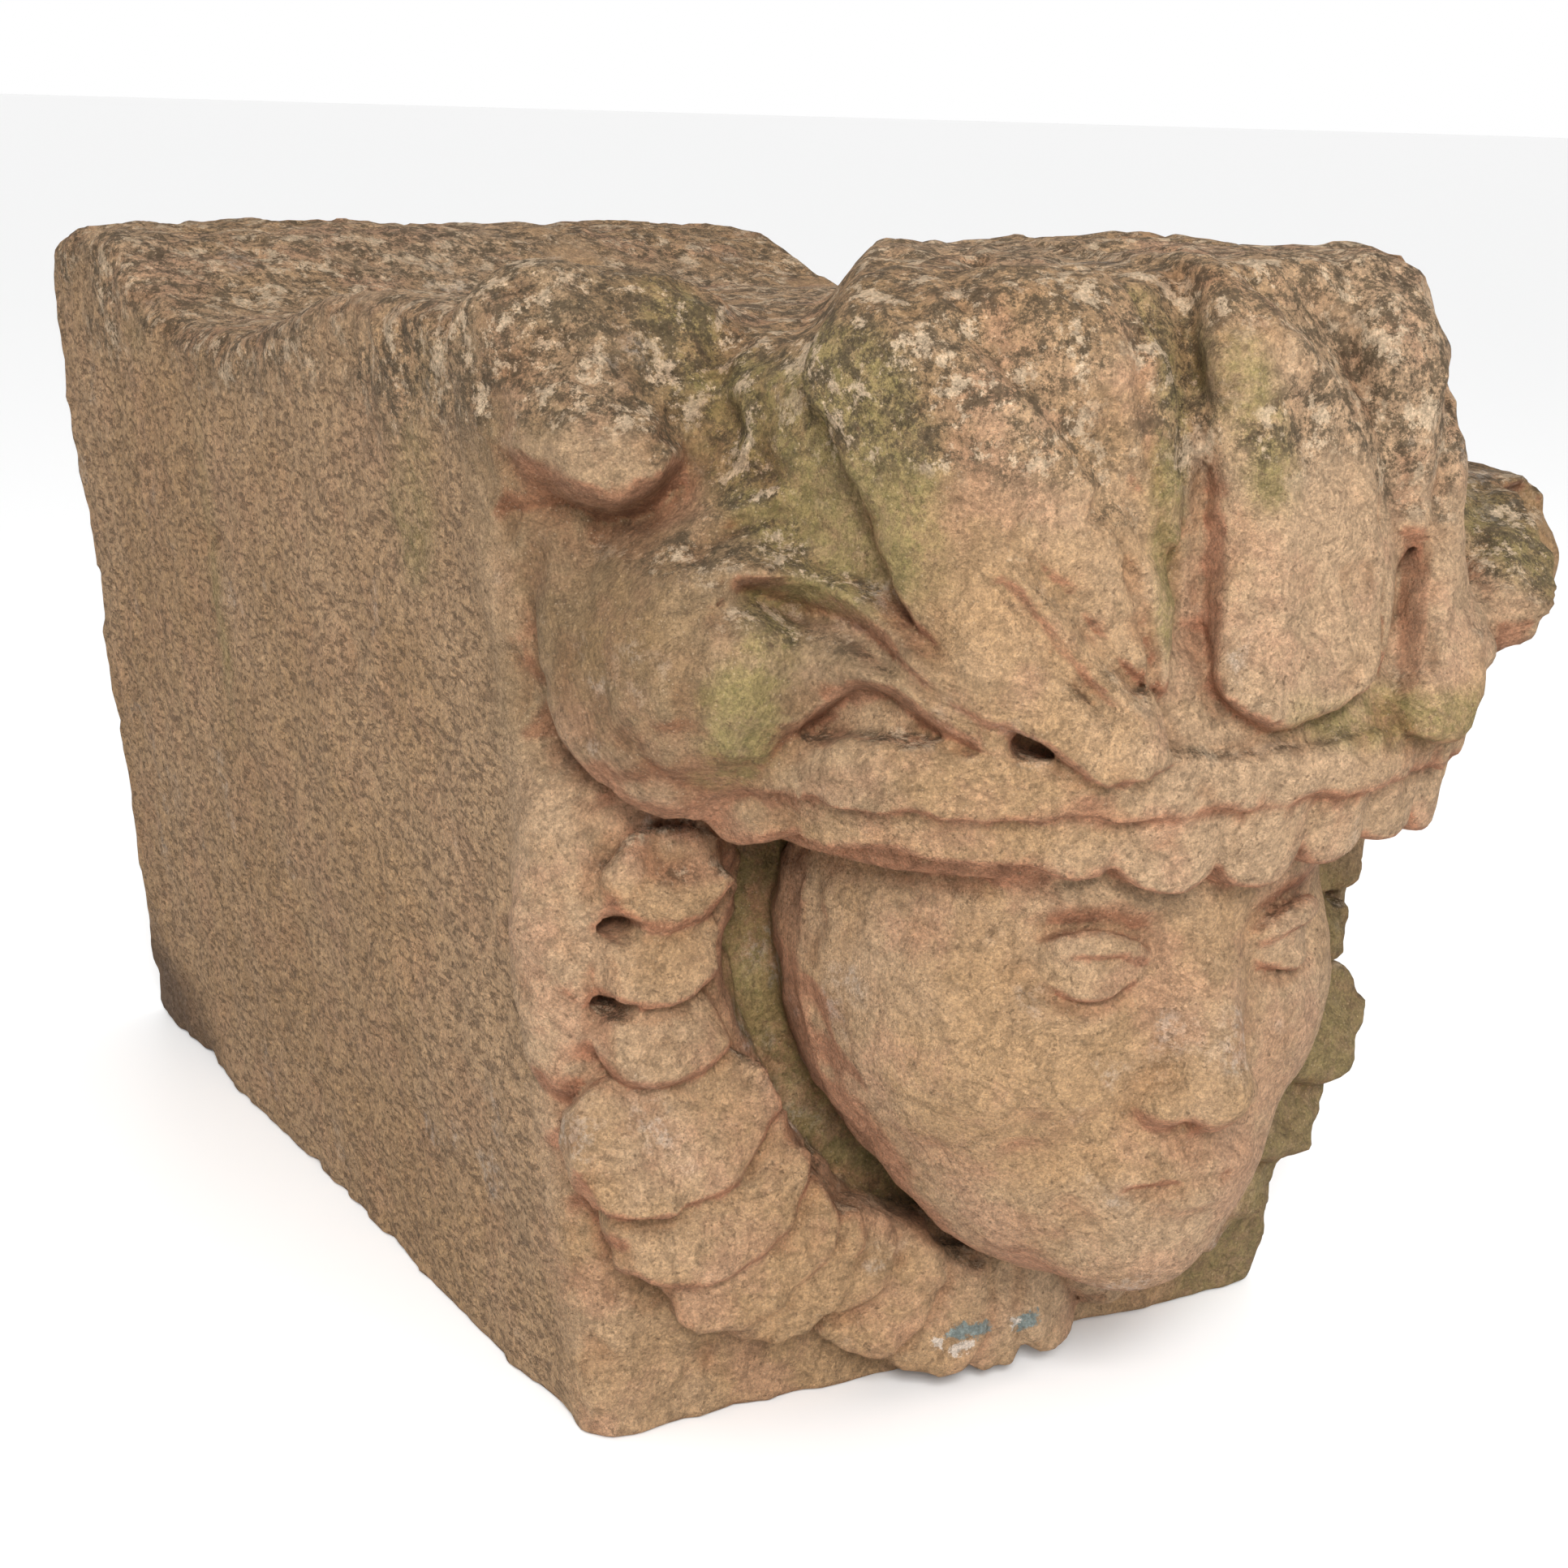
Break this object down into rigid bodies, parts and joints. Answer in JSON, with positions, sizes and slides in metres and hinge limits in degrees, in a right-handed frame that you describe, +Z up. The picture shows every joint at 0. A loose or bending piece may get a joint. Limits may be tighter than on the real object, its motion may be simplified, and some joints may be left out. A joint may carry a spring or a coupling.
{
  "type": "carved stone capstone",
  "caption": "Tapered keystone block of weathered sandstone, carved on its front with a head in a leafed headdress, draped swags and a petal collar.",
  "frame": {"origin": "middle of the block's flat underside", "axes": "+Z up, +Y from the carved front to the back of the block, +X to the right as seen from the front"},
  "size_m": [0.522, 0.8825, 0.5434],
  "materials": {
    "sandstone": "matte"
  },
  "bodies": {
    "root": {"carved_capstone": "sandstone"}
  },
  "joints": []
}
